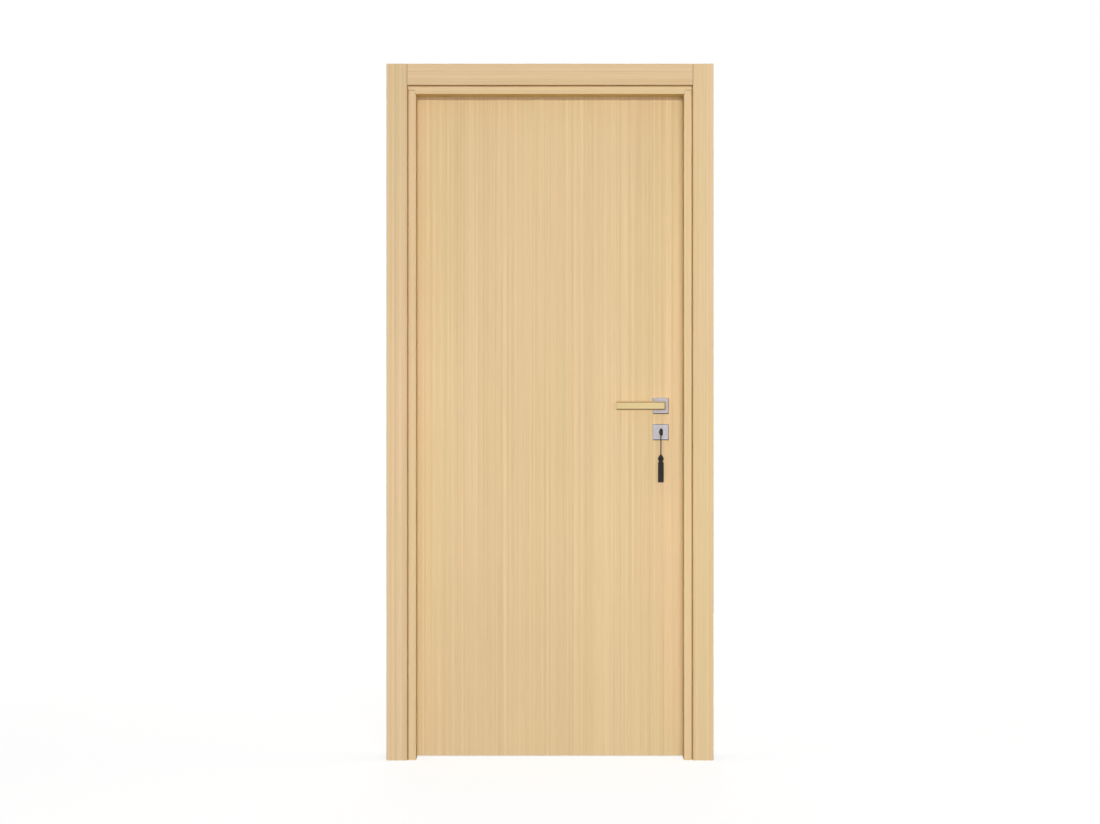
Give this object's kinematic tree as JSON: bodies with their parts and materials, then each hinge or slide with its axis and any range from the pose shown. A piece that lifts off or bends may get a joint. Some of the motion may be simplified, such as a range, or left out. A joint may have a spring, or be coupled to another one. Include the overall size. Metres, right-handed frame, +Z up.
{
  "type": "prehung single door",
  "caption": "Prehung flush door: rebated veneered lining with casings both sides, leaf on butt hinges, lever handles on square roses, and a key with a tassel.",
  "frame": {"origin": "on the hinge jamb's wall face, at the floor, in the middle of the wall's thickness", "axes": "+X from the hinge jamb towards the latch jamb, +Y to the side that the leaf opens to, +Z up"},
  "size_m": [1, 0.174, 2.13],
  "materials": {
    "leaf_veneer": "matt lacquered straight grain veneer",
    "frame_veneer": "matt lacquered straight grain veneer",
    "casing_veneer": "matt lacquered straight grain veneer",
    "inner_wood": "planed, unfinished",
    "core_filling": "pressed board",
    "seal_rubber": "matt",
    "hinge_steel": "satin",
    "lock_steel": "zinc plated",
    "bolt_metal": "nickel plated",
    "rose_metal": "satin nickel",
    "lever_metal": "pale champagne satin",
    "key_metal": "nickel plated",
    "grip_plastic": "black",
    "tassel_thread": "black twisted thread"
  },
  "bodies": {
    "frame": {"hinge_jamb": "frame_veneer", "latch_jamb": "frame_veneer", "head_jamb": "frame_veneer", "front_hinge_casing": "casing_veneer", "front_latch_casing": "casing_veneer", "front_head_casing": "casing_veneer", "back_hinge_casing": "casing_veneer", "back_latch_casing": "casing_veneer", "back_head_casing": "casing_veneer", "hinge_side_seal": "seal_rubber", "latch_side_seal": "seal_rubber", "head_seal": "seal_rubber", "strike_plate": "hinge_steel", "lower_hinge_frame_half": "hinge_steel", "lower_hinge_pin": "hinge_steel", "middle_hinge_frame_half": "hinge_steel", "middle_hinge_pin": "hinge_steel", "upper_hinge_frame_half": "hinge_steel", "upper_hinge_pin": "hinge_steel"},
    "leaf": {"front_skin": "leaf_veneer", "back_skin": "leaf_veneer", "hinge_stile": "inner_wood", "latch_stile": "inner_wood", "top_rail": "inner_wood", "bottom_rail": "inner_wood", "core": "core_filling", "lock_case": "lock_steel", "latch_bolt": "bolt_metal", "dead_bolt": "bolt_metal", "front_handle_rose": "rose_metal", "back_handle_rose": "rose_metal", "front_key_rose": "rose_metal", "back_key_rose": "rose_metal", "lower_hinge_leaf_half": "hinge_steel", "middle_hinge_leaf_half": "hinge_steel", "upper_hinge_leaf_half": "hinge_steel"},
    "handle": {"front_lever": "lever_metal", "back_lever": "lever_metal", "spindle": "lock_steel"},
    "key": {"key_blade": "key_metal", "key_grip": "grip_plastic"},
    "tassel": {"tassel_loop": "tassel_thread", "tassel_cord": "tassel_thread", "tassel_knot": "tassel_thread", "tassel_skirt": "tassel_thread"}
  },
  "joints": [
    {"name": "leaf_swing", "type": "hinge", "parent": "frame", "child": "leaf", "pos_m": [0.0325, 0.066, 1.03], "axis": [0, 0, 1], "range_deg": [0, 165]},
    {"name": "handle_turn", "type": "hinge", "parent": "leaf", "child": "handle", "pos_m": [0.792, 0.038, 1.084], "axis": [0, -1, 0], "range_deg": [0, 45], "stiffness_Nm_per_rad": 1.2, "springref_deg": -20.05},
    {"name": "key_turn", "type": "hinge", "parent": "leaf", "child": "key", "pos_m": [0.792, 0.038, 1.0027], "axis": [0, 1, 0], "range_deg": [0, 360]},
    {"name": "tassel_swing", "type": "hinge", "parent": "leaf", "child": "tassel", "pos_m": [0.792, 0.00125, 1.0027], "axis": [0, 1, 0], "range_deg": [-20, 20]}
  ]
}
